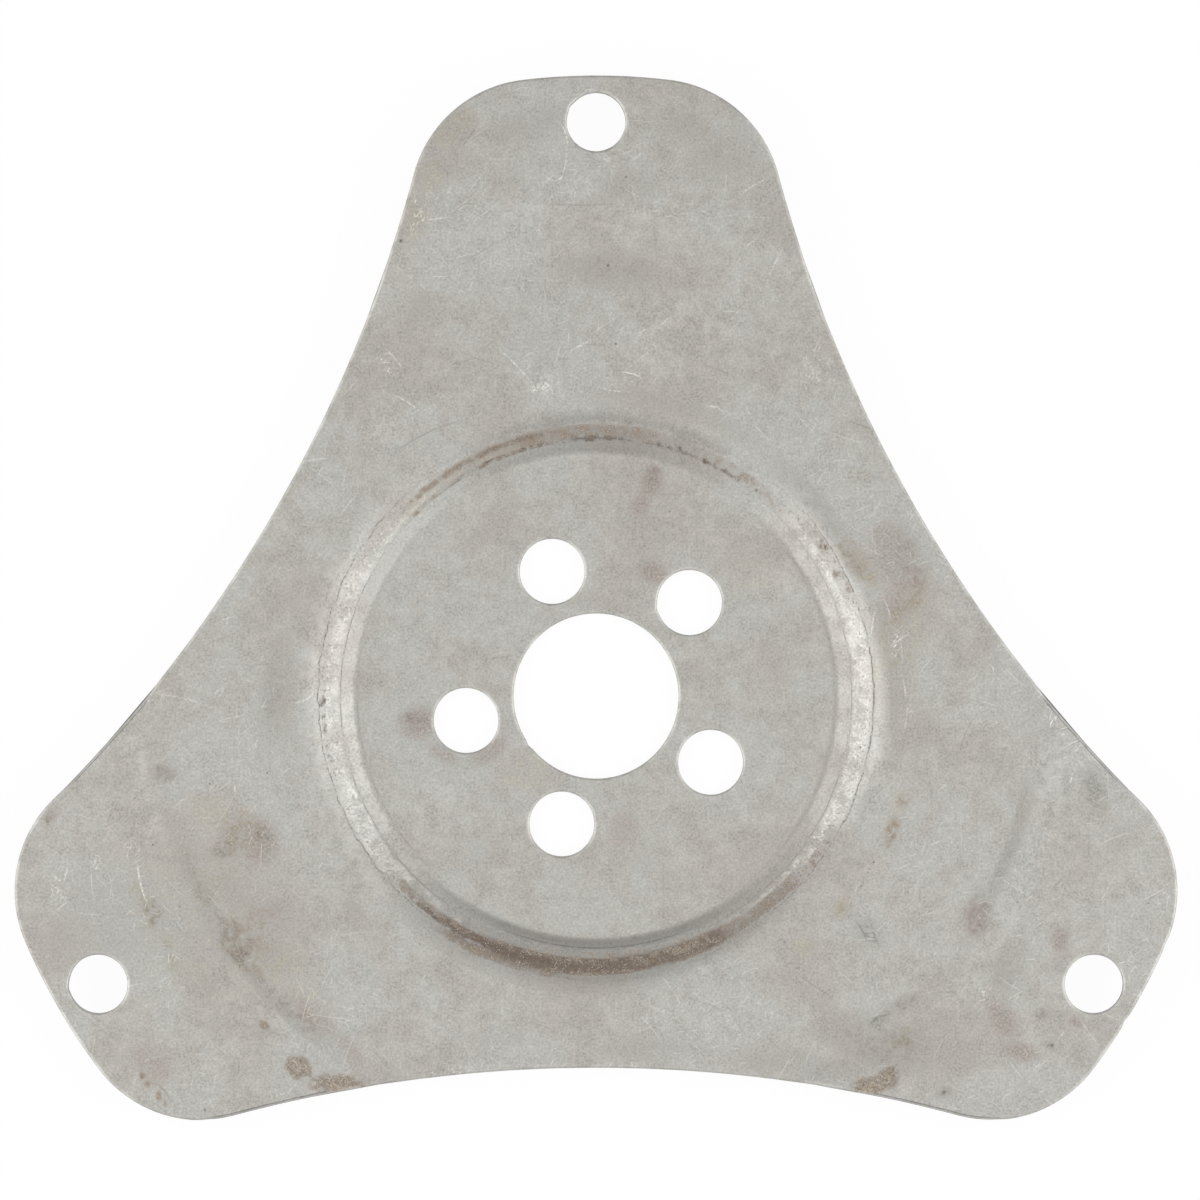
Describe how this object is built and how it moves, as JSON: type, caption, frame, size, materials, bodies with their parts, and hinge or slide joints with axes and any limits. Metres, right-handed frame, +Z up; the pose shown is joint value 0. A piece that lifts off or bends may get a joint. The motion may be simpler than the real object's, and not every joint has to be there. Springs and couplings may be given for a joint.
{
  "type": "flexplate",
  "caption": "Pressed steel flexplate: a dished pad with a pilot bore and crankshaft bolt holes, and wide rounded lobes with converter bolt holes.",
  "frame": {"origin": "on the bore's axis, in the plane of the lower face of the sheet outside the dish; the plate's centre of mass lies on it to 0.1 mm", "axes": "+Z up along the bore's axis, from the crankshaft side to the converter side; +Y from the bore to the middle of the first lobe; +X across it to the right"},
  "size_m": [0.2206, 0.1981, 0.0077],
  "materials": {
    "plate_steel": "dull grey bare steel with fine scratches, stains and a rusty rough ring round the dish"
  },
  "bodies": {
    "root": {"flexplate": "plate_steel"}
  },
  "joints": []
}
